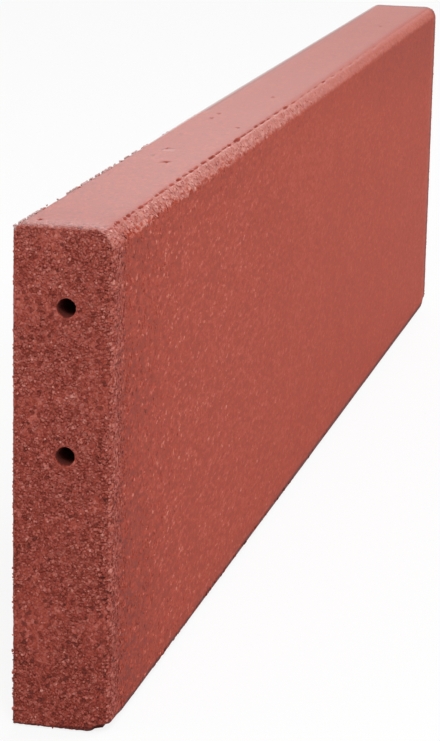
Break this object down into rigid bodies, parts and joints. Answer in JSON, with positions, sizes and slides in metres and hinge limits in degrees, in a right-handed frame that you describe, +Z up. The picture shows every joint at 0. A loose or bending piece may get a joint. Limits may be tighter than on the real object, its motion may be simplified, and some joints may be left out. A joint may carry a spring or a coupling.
{
  "type": "rubber curb",
  "caption": "Straight curb bar of bonded red rubber crumb, standing on edge, its front long edges rounded and its ends drilled with blind dowel holes.",
  "frame": {"origin": "middle of the foot, on the ground", "axes": "+X along the curb towards the end that is far in the picture, +Y through the thickness towards the back, so the rounded front face looks along -Y, +Z up"},
  "size_m": [1, 0.05, 0.25],
  "materials": {
    "crumb_rubber": "matt red pigmented rubber crumb bonded with binder, granular and slightly open"
  },
  "bodies": {
    "root": {"rubber_curb": "crumb_rubber"}
  },
  "joints": []
}
